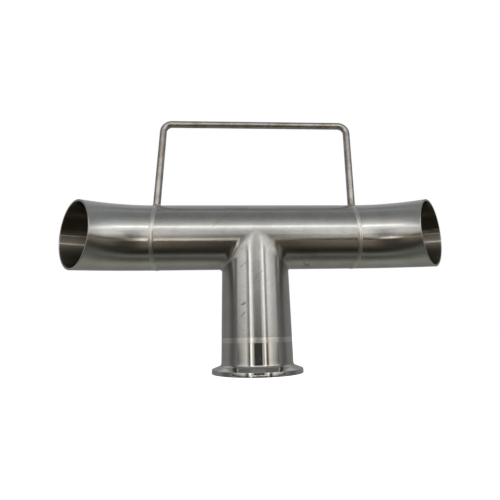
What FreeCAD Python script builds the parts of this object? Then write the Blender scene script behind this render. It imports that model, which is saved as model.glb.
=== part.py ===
import FreeCAD, Part

# Draw-off nozzle: a stainless tee on a clamp ferrule, two open elbows and a bar handle.
# Lengths are in millimetres and angles in degrees. +Z is up, +X runs along the tee to the
# right elbow, and the elbows turn towards -Y. The origin is the centre of the ferrule's
# sealing face. All the pieces are welded together, so nothing moves.

import math
import os

import Sketcher
from FreeCAD import Vector

doc = FreeCAD.newDocument("draw_off_nozzle")

# Driving dimensions

DIMENSIONS = [
    ("tube_diameter", 50.8, "outside diameter of the run, the elbows and the ferrule's neck"),
    ("tube_wall", 1.5, "wall of every tube"),
    ("run_reach", 76.2, "middle of the run to the middle of each girth weld"),
    ("run_shift", 0.6, "how far the middle of the run sits to the right of the outlet"),
    ("outlet_reach", 76.2, "axis of the run to the middle of the ferrule weld"),
    ("outlet_ease", 0.1, "how much the pulled outlet's diameter is under the run's"),
    ("crotch_radius", 2.5, "outside rounding where the outlet leaves the run"),
    ("elbow_radius", 76.2, "centreline radius of the elbows"),
    ("elbow_angle", 45.0, "turn of each elbow"),
    ("elbow_drop", 7.5, "how far the elbows' plane dips below the horizontal"),
    ("weld_width", 3.3, "width of the girth and ferrule welds"),
    ("weld_crown", 0.3, "height of those beads above the tube"),
    ("ferrule_length", 21.5, "sealing face to the middle of the ferrule weld"),
    ("flange_diameter", 64.0, "clamp flange across"),
    ("flange_edge", 2.85, "thickness of the clamp flange at its edge"),
    ("flange_slope", 20.0, "taper of the flange's back, which the clamp wedges on"),
    ("flange_break", 0.3, "how far the flange's edges are broken"),
    ("neck_radius", 2.0, "rounding between the flange's back and the neck"),
    ("groove_diameter", 56.3, "middle of the gasket groove"),
    ("groove_width", 3.9, "width of the gasket groove at the sealing face"),
    ("groove_floor", 1.7, "width of the gasket groove's floor"),
    ("groove_depth", 1.6, "depth of the gasket groove"),
    ("bar_diameter", 6.0, "handle bar"),
    ("bar_bend_radius", 7.5, "centreline radius of the handle's two bends"),
    ("handle_height", 78.0, "top of the run to the middle of the handle's grip"),
    ("handle_span", 160.0, "distance between the handle's feet"),
    ("handle_shift", 0.9, "how far the handle sits to the right of the middle of the run"),
    ("left_leg_lean", 0.7, "how far the left leg leans to the right"),
    ("right_leg_lean", 2.9, "how far the right leg leans to the right"),
    ("foot_weld_leg", 1.5, "how far the beads at the handle's feet reach up the bar"),
]

sheet = doc.addObject("Spreadsheet::Sheet", "sizes")
for row, (alias, value, meaning) in enumerate(DIMENSIONS, start=1):
    sheet.set(f"A{row}", meaning)
    sheet.set(f"B{row}", str(value))
    sheet.setAlias(f"B{row}", alias)
doc.recompute()

# Sizes worked out from the driving dimensions, as expressions

TUBE_RADIUS = "sizes.tube_diameter / 2"
BORE_RADIUS = "(sizes.tube_diameter / 2 - sizes.tube_wall)"
BORE_DIAMETER = "(sizes.tube_diameter - 2 * sizes.tube_wall)"
OUTLET_DIAMETER = "(sizes.tube_diameter - sizes.outlet_ease)"
OUTLET_BORE = "(sizes.tube_diameter - sizes.outlet_ease - 2 * sizes.tube_wall)"
AXIS_HEIGHT = "(sizes.outlet_reach + sizes.ferrule_length)"
RUN_TOP = "(sizes.outlet_reach + sizes.ferrule_length + sizes.tube_diameter / 2)"
HALF_WELD = "sizes.weld_width / 2"
OUTLET_ACROSS = "(-sizes.run_shift)"
LEFT_FOOT = "(sizes.run_shift + sizes.handle_shift - sizes.handle_span / 2)"
RIGHT_FOOT = "(sizes.run_shift + sizes.handle_shift + sizes.handle_span / 2)"
FOOT_DEPTH = "sizes.tube_wall / 2"

# How near a point has to lie to count as on an edge
NEAR = 0.002


def evaluate(expression):
    """Return the present value of an expression on the sheet, as a plain number."""
    return float(sheet.evalExpression(expression))


# Helpers for sketches


def new_body(name, x="0", y="0", z="0", axis="1; 0; 0", tilt="0"):
    """Make a body whose place and tilt follow expressions on the sheet."""
    body = doc.addObject("PartDesign::Body", name)
    body.Label = name
    turn = f"rotation(vector({axis}); {tilt})"
    body.setExpression("Placement", f"placement(vector({x}; {y}; {z}); {turn})")
    return body


def new_sketch(body, name, plane):
    """Start a sketch on one of the body's own origin planes."""
    sketch = body.newObject("Sketcher::SketchObject", name)
    support = next(item for item in body.Origin.OriginFeatures if item.Role == plane)
    sketch.AttachmentSupport = [(support, "")]
    sketch.MapMode = "FlatFace"
    return sketch


def bind(sketch, kind, name, expression, *where):
    """Add a dimension to a sketch, named and bound to an expression."""
    value = evaluate(expression)
    if kind == "Angle":
        value = math.radians(value)
    index = sketch.addConstraint(Sketcher.Constraint(kind, *where, value))
    sketch.renameConstraint(index, name)
    sketch.setExpression(f"Constraints.{name}", expression)


def pin(sketch, name, element, end, across, up):
    """Place one end of an element from the sketch's origin."""
    bind(sketch, "DistanceX", f"{name}_across", across, -1, 1, element, end)
    bind(sketch, "DistanceY", f"{name}_up", up, -1, 1, element, end)


def add_circle(sketch, name, diameter, across="0", up="0"):
    """Draw a circle whose diameter and centre are bound."""
    centre = Vector(evaluate(across), evaluate(up), 0)
    circle = Part.Circle(centre, Vector(0, 0, 1), evaluate(diameter) / 2)
    element = sketch.addGeometry(circle)
    bind(sketch, "Diameter", f"{name}_diameter", diameter, element)
    pin(sketch, name, element, 3, across, up)


def arc_between(start, end, radius):
    """Return the short arc that turns left from start to end, as Part wants it."""
    chord = end - start
    middle = start + chord / 2
    left = Vector(-chord.y, chord.x, 0).normalize()
    centre = middle + left * math.sqrt(radius**2 - (chord.Length / 2) ** 2)
    first = math.atan2(start.y - centre.y, start.x - centre.x)
    last = math.atan2(end.y - centre.y, end.x - centre.x)
    if last < first:
        last += 2 * math.pi
    return Part.ArcOfCircle(Part.Circle(centre, Vector(0, 0, 1), radius), first, last)


def add_profile(sketch, corners):
    """Draw a closed profile through corners, each a name with its two coordinates."""
    places = [Vector(evaluate(across), evaluate(up), 0) for _, across, up in corners]
    sides = []
    for index, start in enumerate(places):
        end = places[(index + 1) % len(places)]
        sides.append(sketch.addGeometry(Part.LineSegment(start, end)))
    for index, (name, across, up) in enumerate(corners):
        following = sides[(index + 1) % len(sides)]
        sketch.addConstraint(Sketcher.Constraint("Coincident", sides[index], 2, following, 1))
        pin(sketch, name, sides[index], 1, across, up)


# Helpers for features


def add_feature(body, kind, name, sketch, **settings):
    """Add a PartDesign feature that works from a sketch."""
    feature = body.newObject(f"PartDesign::{kind}", name)
    feature.Profile = sketch
    for setting, value in settings.items():
        setattr(feature, setting, value)
    return feature


def revolve(body, name, sketch, axis, kind="Revolution", angle="360", **settings):
    """Turn a sketch about one of its own axes."""
    feature = add_feature(body, kind, name, sketch, **settings)
    feature.ReferenceAxis = (sketch, [axis])
    feature.setExpression("Angle", angle)
    return feature


def add_fillet(body, name, base, test, radius):
    """Round the edges of a body's last feature whose points all pass a test."""
    doc.recompute()
    names = []
    for index, edge in enumerate(base.Shape.Edges, start=1):
        if all(test(point) for point in edge.discretize(7)):
            names.append(f"Edge{index}")
    fillet = body.newObject("PartDesign::Fillet", name)
    fillet.Base = (base, names)
    fillet.setExpression("Radius", radius)
    return fillet


# Tee: its body's origin is the middle of the run


def on_crossing(run_diameter, outlet_diameter):
    """Return a test for points that lie on both of two crossing cylinders."""
    run_radius = evaluate(run_diameter) / 2
    outlet_radius = evaluate(outlet_diameter) / 2
    outlet_across = evaluate(OUTLET_ACROSS)

    def test(point):
        off_run = math.hypot(point.y, point.z) - run_radius
        off_outlet = math.hypot(point.x - outlet_across, point.y) - outlet_radius
        return abs(off_run) < NEAR and abs(off_outlet) < NEAR

    return test


def make_tee():
    """Run and pulled outlet, rounded where they meet and bored with an even wall."""
    body = new_body("tee_body", x="sizes.run_shift", z=AXIS_HEIGHT)
    run_sketch = new_sketch(body, "run_section", "YZ_Plane")
    add_circle(run_sketch, "run", "sizes.tube_diameter")
    run = add_feature(body, "Pad", "run", run_sketch, SideType="Symmetric")
    run.setExpression("Length", f"2 * (sizes.run_reach - {HALF_WELD})")
    outlet_sketch = new_sketch(body, "outlet_section", "XY_Plane")
    add_circle(outlet_sketch, "outlet", OUTLET_DIAMETER, across=OUTLET_ACROSS)
    outlet = add_feature(body, "Pad", "outlet", outlet_sketch, Reversed=True)
    outlet.setExpression("Length", f"sizes.outlet_reach - {HALF_WELD}")
    outside = on_crossing("sizes.tube_diameter", OUTLET_DIAMETER)
    add_fillet(body, "crotch", outlet, outside, "sizes.crotch_radius")
    run_bore_sketch = new_sketch(body, "run_bore_section", "YZ_Plane")
    add_circle(run_bore_sketch, "run_bore", BORE_DIAMETER)
    run_bore = add_feature(body, "Pocket", "run_bore", run_bore_sketch, SideType="Symmetric")
    run_bore.setExpression("Length", "2 * sizes.run_reach")
    outlet_bore_sketch = new_sketch(body, "outlet_bore_section", "XY_Plane")
    add_circle(outlet_bore_sketch, "outlet_bore", OUTLET_BORE, across=OUTLET_ACROSS)
    outlet_bore = add_feature(body, "Pocket", "outlet_bore", outlet_bore_sketch)
    outlet_bore.setExpression("Length", "sizes.outlet_reach")
    inside = on_crossing(BORE_DIAMETER, OUTLET_BORE)
    inner_radius = "sizes.crotch_radius + sizes.tube_wall"
    add_fillet(body, "inner_crotch", outlet_bore, inside, inner_radius)
    return body


# Elbows: each body's origin is the centre of its bend


def make_elbow(name, side):
    """A bent tube that leaves the run at one side: 1 is the right and -1 the left."""
    body = new_body(
        name,
        x=f"sizes.run_shift + {side} * (sizes.run_reach + {HALF_WELD})",
        y="-sizes.elbow_radius * cos(sizes.elbow_drop * 1 deg)",
        z=f"{AXIS_HEIGHT} - sizes.elbow_radius * sin(sizes.elbow_drop * 1 deg)",
        tilt="sizes.elbow_drop",
    )
    sketch = new_sketch(body, f"{name}_section", "YZ_Plane")
    add_circle(sketch, "outside", "sizes.tube_diameter", across="sizes.elbow_radius")
    add_circle(sketch, "bore", BORE_DIAMETER, across="sizes.elbow_radius")
    turn_back = side > 0
    revolve(body, f"{name}_bend", sketch, "V_Axis", angle="sizes.elbow_angle", Reversed=turn_back)
    return body


# Ferrule: a turned piece whose body's origin is the centre of the sealing face


def at_ring(radius, height):
    """Return a test for points on a ring about the vertical axis."""
    wanted_radius = evaluate(radius)
    wanted_height = evaluate(height)

    def test(point):
        off_radius = math.hypot(point.x, point.y) - wanted_radius
        return abs(off_radius) < NEAR and abs(point.z - wanted_height) < NEAR

    return test


def make_ferrule():
    """Neck and clamp flange, with the flange's tapered back and the gasket groove."""
    flange_radius = "sizes.flange_diameter / 2"
    broken_radius = f"{flange_radius} - sizes.flange_break"
    slope = "tan(sizes.flange_slope * 1 deg)"
    neck_foot = f"sizes.flange_edge + ({flange_radius} - {TUBE_RADIUS}) * {slope}"
    back_edge = f"sizes.flange_edge + sizes.flange_break * {slope}"
    top = f"sizes.ferrule_length - {HALF_WELD}"
    body = new_body("clamp_ferrule")
    sketch = new_sketch(body, "ferrule_section", "XZ_Plane")
    corners = [
        ("bore_foot", BORE_RADIUS, "0"),
        ("face_edge", broken_radius, "0"),
        ("rim_foot", flange_radius, "sizes.flange_break"),
        ("rim_top", flange_radius, "sizes.flange_edge - sizes.flange_break"),
        ("back_edge", broken_radius, back_edge),
        ("neck_foot", TUBE_RADIUS, neck_foot),
        ("neck_top", TUBE_RADIUS, top),
        ("bore_top", BORE_RADIUS, top),
    ]
    add_profile(sketch, corners)
    turned = revolve(body, "turned_ferrule", sketch, "V_Axis")
    add_fillet(body, "neck", turned, at_ring(TUBE_RADIUS, neck_foot), "sizes.neck_radius")
    middle = "sizes.groove_diameter / 2"
    groove_sketch = new_sketch(body, "groove_section", "XZ_Plane")
    groove_corners = [
        ("inner_edge", f"{middle} - sizes.groove_width / 2", "0"),
        ("outer_edge", f"{middle} + sizes.groove_width / 2", "0"),
        ("outer_floor", f"{middle} + sizes.groove_floor / 2", "sizes.groove_depth"),
        ("inner_floor", f"{middle} - sizes.groove_floor / 2", "sizes.groove_depth"),
    ]
    add_profile(groove_sketch, groove_corners)
    revolve(body, "gasket_groove", groove_sketch, "V_Axis", kind="Groove")
    return body


# Welds between tubes: each body's origin is the middle of the joint, on the tube's axis


def make_ring_weld(name, tube_axis, **place):
    """A bead that fills the gap between two tube ends, level inside and crowned outside."""
    quarter = "sizes.weld_width / 4"
    crown = f"({TUBE_RADIUS} + sizes.weld_crown)"
    body = new_body(name, **place)
    sketch = new_sketch(body, f"{name}_section", "XZ_Plane")
    if tube_axis == "H_Axis":
        corners = [
            ("root_start", f"-{HALF_WELD}", BORE_RADIUS),
            ("root_end", HALF_WELD, BORE_RADIUS),
            ("end_toe", HALF_WELD, TUBE_RADIUS),
            ("end_crown", quarter, crown),
            ("start_crown", f"-{quarter}", crown),
            ("start_toe", f"-{HALF_WELD}", TUBE_RADIUS),
        ]
    else:
        corners = [
            ("root_start", BORE_RADIUS, HALF_WELD),
            ("root_end", BORE_RADIUS, f"-{HALF_WELD}"),
            ("end_toe", TUBE_RADIUS, f"-{HALF_WELD}"),
            ("end_crown", crown, f"-{quarter}"),
            ("start_crown", crown, quarter),
            ("start_toe", TUBE_RADIUS, HALF_WELD),
        ]
    add_profile(sketch, corners)
    revolve(body, f"{name}_bead", sketch, tube_axis)
    return body


# Handle: its body's origin is level with the top of the run, above the outlet


def make_handle_bar():
    """A round bar swept along two leaning legs, two bends and a level grip."""
    body = new_body("handle_bar", z=RUN_TOP)
    path = new_sketch(body, "handle_path", "XZ_Plane")
    bend = evaluate("sizes.bar_bend_radius")
    height = evaluate("sizes.handle_height")
    depth = evaluate(FOOT_DEPTH)
    left_lean = math.radians(evaluate("sizes.left_leg_lean"))
    right_lean = math.radians(evaluate("sizes.right_leg_lean"))
    left_foot = Vector(evaluate(LEFT_FOOT), -depth, 0)
    right_foot = Vector(evaluate(RIGHT_FOOT), -depth, 0)
    left_top = left_foot + Vector((height + depth) * math.tan(left_lean), height + depth, 0)
    right_top = right_foot + Vector((height + depth) * math.tan(right_lean), height + depth, 0)
    left_set_back = bend * math.tan((math.pi / 2 - left_lean) / 2)
    right_set_back = bend * math.tan((math.pi / 2 + right_lean) / 2)
    left_leg_end = left_top + (left_foot - left_top).normalize() * left_set_back
    right_leg_end = right_top + (right_foot - right_top).normalize() * right_set_back
    grip_start = left_top + Vector(left_set_back, 0, 0)
    grip_end = right_top - Vector(right_set_back, 0, 0)
    left_leg = path.addGeometry(Part.LineSegment(left_foot, left_leg_end))
    left_bend = path.addGeometry(arc_between(grip_start, left_leg_end, bend))
    grip = path.addGeometry(Part.LineSegment(grip_start, grip_end))
    right_bend = path.addGeometry(arc_between(right_leg_end, grip_end, bend))
    right_leg = path.addGeometry(Part.LineSegment(right_foot, right_leg_end))
    path.addConstraint(Sketcher.Constraint("Tangent", left_leg, 2, left_bend, 2))
    path.addConstraint(Sketcher.Constraint("Tangent", left_bend, 1, grip, 1))
    path.addConstraint(Sketcher.Constraint("Tangent", grip, 2, right_bend, 2))
    path.addConstraint(Sketcher.Constraint("Tangent", right_bend, 1, right_leg, 2))
    path.addConstraint(Sketcher.Constraint("Horizontal", grip))
    bind(path, "DistanceY", "grip_height", "sizes.handle_height", -1, 1, grip, 1)
    bind(path, "Radius", "left_bend_radius", "sizes.bar_bend_radius", left_bend)
    bind(path, "Radius", "right_bend_radius", "sizes.bar_bend_radius", right_bend)
    bind(path, "Angle", "left_leg_slope", "(90 - sizes.left_leg_lean) * 1 deg", left_leg)
    bind(path, "Angle", "right_leg_slope", "(90 - sizes.right_leg_lean) * 1 deg", right_leg)
    pin(path, "left_foot", left_leg, 1, LEFT_FOOT, f"-{FOOT_DEPTH}")
    pin(path, "right_foot", right_leg, 1, RIGHT_FOOT, f"-{FOOT_DEPTH}")
    doc.recompute()
    section = body.newObject("Sketcher::SketchObject", "bar_section")
    section.AttachmentSupport = [(path, "Edge1")]
    section.MapMode = "NormalToEdge"
    add_circle(section, "bar", "sizes.bar_diameter")
    sweep = add_feature(body, "AdditivePipe", "bent_bar", section)
    sweep.Spine = (path, [])
    return body


def make_foot_bead(name, foot, lean):
    """The weld bead round one foot, as turned about its leg before it is cut to the tube."""
    bottom = f"{RUN_TOP} - {FOOT_DEPTH}"
    body = new_body(f"{name}_bead", x=foot, z=bottom, axis="0; 1; 0", tilt=lean)
    sketch = new_sketch(body, f"{name}_section", "XZ_Plane")
    bar_radius = "sizes.bar_diameter / 2"
    reach = f"(sizes.foot_weld_leg + {FOOT_DEPTH})"
    corners = [
        ("root", bar_radius, "0"),
        ("toe", f"{bar_radius} + {reach}", "0"),
        ("tip", bar_radius, reach),
    ]
    add_profile(sketch, corners)
    revolve(body, f"{name}_turned", sketch, "V_Axis")
    return body


def cope(name, blank, seat):
    """Cut a blank to the surface that it is welded on."""
    coped = doc.addObject("Part::Cut", name)
    coped.Label = name
    coped.Base = blank
    coped.Tool = seat
    return coped


# Pieces, in the order in which they are welded

tee_body = make_tee()
left_elbow = make_elbow("left_elbow", -1)
right_elbow = make_elbow("right_elbow", 1)
clamp_ferrule = make_ferrule()
left_girth_weld = make_ring_weld(
    "left_girth_weld", "H_Axis", x="sizes.run_shift - sizes.run_reach", z=AXIS_HEIGHT
)
right_girth_weld = make_ring_weld(
    "right_girth_weld", "H_Axis", x="sizes.run_shift + sizes.run_reach", z=AXIS_HEIGHT
)
ferrule_weld = make_ring_weld("ferrule_weld", "V_Axis", z="sizes.ferrule_length")

seat = doc.addObject("Part::Compound", "handle_seat")
seat.Links = [tee_body, left_elbow, right_elbow, left_girth_weld, right_girth_weld]
handle = cope("handle", make_handle_bar(), seat)
left_bead = make_foot_bead("left_foot", LEFT_FOOT, "sizes.left_leg_lean")
right_bead = make_foot_bead("right_foot", RIGHT_FOOT, "sizes.right_leg_lean")
left_handle_weld = cope("left_handle_weld", left_bead, seat)
right_handle_weld = cope("right_handle_weld", right_bead, seat)

PIECES = [
    tee_body,
    left_elbow,
    right_elbow,
    clamp_ferrule,
    left_girth_weld,
    right_girth_weld,
    ferrule_weld,
    handle,
    left_handle_weld,
    right_handle_weld,
]

# Checks, then one file for each piece

doc.recompute()
for item in doc.Objects:
    if "Invalid" in item.State or "Error" in item.State:
        raise RuntimeError(f"{item.Label} failed: {item.State}")
for piece in PIECES:
    if piece.Shape.isNull() or not piece.Shape.isValid() or not piece.Shape.Solids:
        raise RuntimeError(f"{piece.Label} has no valid solid")

os.makedirs("parts", exist_ok=True)
for piece in PIECES:
    piece.Shape.exportStep(f"parts/{piece.Label}.step")
    print(piece.Label, len(piece.Shape.Solids), round(piece.Shape.Volume, 1))
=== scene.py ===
"""A welded stainless draw-off nozzle, dressed on its CAD frame for a studio picture."""

import math

import bpy
import numpy as np
from bpy.props import FloatProperty, FloatVectorProperty, PointerProperty
from mathutils import Matrix, Vector


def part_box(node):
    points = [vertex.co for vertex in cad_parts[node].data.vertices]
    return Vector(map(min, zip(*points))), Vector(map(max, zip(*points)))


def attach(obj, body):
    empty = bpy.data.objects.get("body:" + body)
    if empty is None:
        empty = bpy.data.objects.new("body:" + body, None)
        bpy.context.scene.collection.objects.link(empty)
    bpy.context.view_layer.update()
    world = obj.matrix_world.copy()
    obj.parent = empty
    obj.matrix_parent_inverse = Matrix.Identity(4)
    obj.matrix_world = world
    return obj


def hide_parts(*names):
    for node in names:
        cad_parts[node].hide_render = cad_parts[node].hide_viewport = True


bl_info = {
    "name": "Draw-off nozzle",
    "version": (1, 0, 0),
    "blender": (4, 2, 0),
    "location": "3D View > Sidebar > Nozzle",
    "description": "Builds a welded stainless draw-off nozzle and the studio around it",
    "category": "Object",
}

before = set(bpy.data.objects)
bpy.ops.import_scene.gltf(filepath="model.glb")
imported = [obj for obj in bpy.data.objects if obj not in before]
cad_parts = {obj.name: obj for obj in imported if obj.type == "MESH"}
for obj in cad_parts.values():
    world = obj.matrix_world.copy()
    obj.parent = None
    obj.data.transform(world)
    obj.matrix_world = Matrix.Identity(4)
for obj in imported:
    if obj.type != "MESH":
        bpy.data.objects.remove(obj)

# The frame's own sizes, in metres

TEE_LOW, TEE_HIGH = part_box("tee_body")
FERRULE_LOW, FERRULE_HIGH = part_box("clamp_ferrule")
TUBE_RADIUS = (TEE_HIGH.y - TEE_LOW.y) / 2
RUN_HEIGHT = TEE_HIGH.z - TUBE_RADIUS
FLANGE_RADIUS = (FERRULE_HIGH.x - FERRULE_LOW.x) / 2

# How much smaller the outlet's radius is than the run's, as in the frame

OUTLET_EASE = 0.00005

# Faces that meet at more than this are shaded as an edge

SHARP_ANGLE = math.radians(50)

# Points that round to the same of these steps are joined

STEPS_PER_METRE = 1e7


def length(name, description, default):
    """A size in metres that the sidebar shows in the scene's own unit."""
    return FloatProperty(
        name=name, description=description, default=default, unit="LENGTH", precision=5
    )


def angle(name, description, degrees):
    """An angle that is written in degrees and kept in radians."""
    return FloatProperty(
        name=name, description=description, default=math.radians(degrees), unit="ROTATION"
    )


def amount(name, description, default):
    """A plain number between nothing and all."""
    return FloatProperty(name=name, description=description, default=default, min=0.0, max=1.0)


def colour(name, description, default):
    """A linear colour."""
    return FloatVectorProperty(
        name=name, description=description, default=default,
        subtype="COLOR", size=3, min=0.0, max=1.0,
    )


class NozzleSizes(bpy.types.PropertyGroup):
    """Sizes of the welded fitting."""

    wall: length("Tube wall", "Thickness of every tube", 0.0015)
    run_reach: length("Run reach", "From the run's middle to the middle of each girth weld", 0.0762)
    run_shift: length("Run shift", "How far the run's middle sits to the right of the outlet", 0.0006)
    outlet_reach: length("Outlet reach", "From the tee's centre to the middle of the ferrule weld", 0.0762)
    crotch: length("Crotch radius", "Rounding at the sides, where the outlet leaves the run", 0.0025)
    crotch_front: length("Front crotch radius", "Rounding at the front, where the crotch fades", 0.020)
    elbow_radius: length("Elbow radius", "Centreline radius of the elbows", 0.0762)
    elbow_angle: angle("Elbow angle", "Turn of each elbow", 45.0)
    elbow_drop: angle("Elbow drop", "How far the elbows' plane dips below the horizontal", 7.5)
    mouth_break: length("Mouth edge", "Rounding of the cut ends", 0.00025)
    weld_width: length("Weld width", "Width of the girth and ferrule welds", 0.0033)
    weld_crown: length("Weld crown", "Height of those beads above the tube", 0.0003)
    ferrule_length: length("Ferrule length", "Sealing face to the middle of its weld", 0.0215)
    flange_edge: length("Flange edge", "Thickness of the clamp flange at its edge", 0.00285)
    flange_slope: angle("Flange slope", "Taper of the flange's back", 20.0)
    flange_break: length("Flange edge rounding", "Rounding of the flange's edges", 0.0003)
    neck: length("Neck radius", "Rounding between the flange's back and the neck", 0.002)
    groove_middle: length("Groove middle", "Radius of the middle of the gasket groove", 0.02815)
    groove_radius: length("Groove radius", "Radius of the gasket groove's section", 0.002)
    groove_depth: length("Groove depth", "Depth of the gasket groove", 0.0016)
    bar: length("Bar radius", "Radius of the handle's bar", 0.003)
    bar_bend: length("Bar bend", "Centreline radius of the handle's bends", 0.0075)
    handle_height: length("Handle height", "Top of the run to the middle of the grip", 0.078)
    handle_span: length("Handle span", "Distance between the handle's feet", 0.160)
    handle_shift: length("Handle shift", "From the run's middle to the handle's", 0.0009)
    left_lean: angle("Left lean", "How far the left leg leans to the right", 0.7)
    right_lean: angle("Right lean", "How far the right leg leans to the right", 2.9)
    foot_leg: length("Foot bead", "How far the beads at the feet reach", 0.0016)


class NozzleFinish(bpy.types.PropertyGroup):
    """Colours and finishes of the steel."""

    tube: colour("Tee", "Satin tee", (0.60, 0.595, 0.57))
    elbow: colour("Elbow", "Elbows, a little lighter", (0.675, 0.675, 0.65))
    ferrule: colour("Ferrule", "Turned ferrule", (0.66, 0.655, 0.635))
    bar: colour("Bar", "Drawn bar", (0.56, 0.535, 0.50))
    weld: colour("Weld", "Brushed bead", (0.80, 0.785, 0.75))
    ferrule_weld: colour("Ferrule weld", "Bead that was ground nearly flush", (0.90, 0.88, 0.84))
    tube_gloss: amount("Tee roughness", "Roughness of the satin tee", 0.22)
    elbow_gloss: amount("Elbow roughness", "Roughness of the elbows, which are polished finer", 0.19)
    ferrule_gloss: amount("Ferrule roughness", "Roughness of the turned ferrule", 0.075)
    bar_gloss: amount("Bar roughness", "Roughness of the drawn bar", 0.32)


# Grids of points and meshes


def full_turn(count):
    """Angles of evenly spaced points round a circle."""
    return np.arange(count) * 2 * np.pi / count


def add_object(name, data):
    """An object at the origin, linked to the scene."""
    thing = bpy.data.objects.new(name, data)
    bpy.context.scene.collection.objects.link(thing)
    return thing


def make_piece(name, points, faces, chart=None, marks=None):
    """A mesh object at the origin from points, four-cornered faces and a chart for its UV map.

    The chart gives two coordinates for each corner of each face, and the marks are named
    numbers for each point. The faces are turned outwards if the volume that they enclose
    comes out negative.
    """
    corners = points[faces]
    spread = np.cross(corners[:, 2] - corners[:, 0], corners[:, 3] - corners[:, 1])
    if (corners.mean(1) * spread).sum() < 0:
        faces = faces[:, ::-1]
        chart = None if chart is None else chart[:, ::-1]
    mesh = bpy.data.meshes.new(name)
    mesh.from_pydata(points.tolist(), [], faces.tolist())
    if chart is not None:
        layer = mesh.uv_layers.new(name="UVMap")
        layer.data.foreach_set("uv", np.ascontiguousarray(chart).ravel())
    for title, values in (marks or {}).items():
        layer = mesh.attributes.new(title, "FLOAT", "POINT")
        layer.data.foreach_set("value", values.astype(np.float32))
    mesh.polygons.foreach_set("use_smooth", np.ones(len(faces), bool))
    mesh.update()
    mesh.set_sharp_from_angle(angle=SHARP_ANGLE)
    return add_object(name, mesh)


def grid_faces(rows, columns, loop=True):
    """Faces of a grid whose columns close on themselves, and whose rows do too if loop."""
    row = np.arange(rows if loop else rows - 1)[:, None]
    column = np.arange(columns)[None, :]
    after = (row + 1) % rows
    beside = (column + 1) % columns
    corners = ((row, column), (row, beside), (after, beside), (after, column))
    return np.stack([down * columns + over for down, over in corners], -1).reshape(-1, 4)


def grid_chart(rows, columns, along, around):
    """UV corners of the same grid: distance along the rows, then distance around."""
    along = np.append(along, along[-1])
    column, row = np.meshgrid(np.arange(columns), np.arange(rows))
    corners = [
        np.stack([along[row + down], (column + beside) * around / columns], -1)
        for beside, down in ((0, 0), (1, 0), (1, 1), (0, 1))
    ]
    return np.stack(corners, 2).reshape(-1, 4, 2)


def rounded_corner(corner, start, end, radius, steps=6):
    """Points of an arc of that radius that rounds a corner between two neighbours.

    The arc's ends lie where the radius meets both sides: radius over the tangent of half
    the angle between them, and its points turn evenly about the centre on the bisector.
    """
    corner, start, end = (np.asarray(p, float) for p in (corner, start, end))
    a = (start - corner) / np.linalg.norm(start - corner)
    b = (end - corner) / np.linalg.norm(end - corner)
    half = math.acos(np.clip(a @ b, -1, 1)) / 2
    middle = (a + b) / np.linalg.norm(a + b)
    centre = corner + middle * radius / math.sin(half)
    first = corner + a * radius / math.tan(half) - centre
    last = corner + b * radius / math.tan(half) - centre
    turn = math.pi - 2 * half
    share = np.linspace(0, 1, steps)[:, None]
    return centre + (np.sin((1 - share) * turn) * first + np.sin(share * turn) * last) / math.sin(turn)


def place(piece, node, material):
    """Let a piece stand for its CAD node, ride with the part and take its material."""
    piece.data.materials.append(material)
    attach(piece, "root")
    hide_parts(node)


# Shapes

# Rows down the outlet, over the crotch and along the run, and columns round the tee. The
# direction of the polishing turns from the outlet's to the run's over some of the rows.

OUTLET_ROWS, CROTCH_ROWS, RUN_ROWS, TEE_COLUMNS = 60, 18, 90, 288
LAY_START, LAY_ROWS = 50, 26


def crotch_rows(radius, rounding, turns, steps):
    """Rows of a rounding between two equal crossing tubes, from the outlet to the run.

    A ball rolls in the corner between the tubes. Its centre keeps the distance radius plus
    rounding from both axes: its place across and its depth are that distance times the
    cosine and the sine of the turn about the outlet, and its height below the run's axis
    follows from the depth by Pythagoras. Each row is a share of the arc between the points
    where the ball touches the two tubes.
    """
    reach = radius + rounding
    across = (reach - OUTLET_EASE) * np.cos(turns)
    depth = (reach - OUTLET_EASE) * np.sin(turns)
    height = -np.sqrt(reach**2 - depth**2)
    centre = np.stack([across, depth, height], -1)
    to_outlet = -np.stack([np.cos(turns), np.sin(turns), 0 * turns], -1)
    to_run = -np.stack([0 * turns, depth, height], -1) / reach[:, None]
    opening = np.arccos(np.clip((to_outlet * to_run).sum(-1), -1, 1))[:, None]
    rows = []
    for share in np.linspace(0, 1, steps):
        arm = np.sin((1 - share) * opening) * to_outlet + np.sin(share * opening) * to_run
        rows.append(centre + rounding[:, None] * arm / np.sin(opening))
    return np.array(rows)


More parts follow.
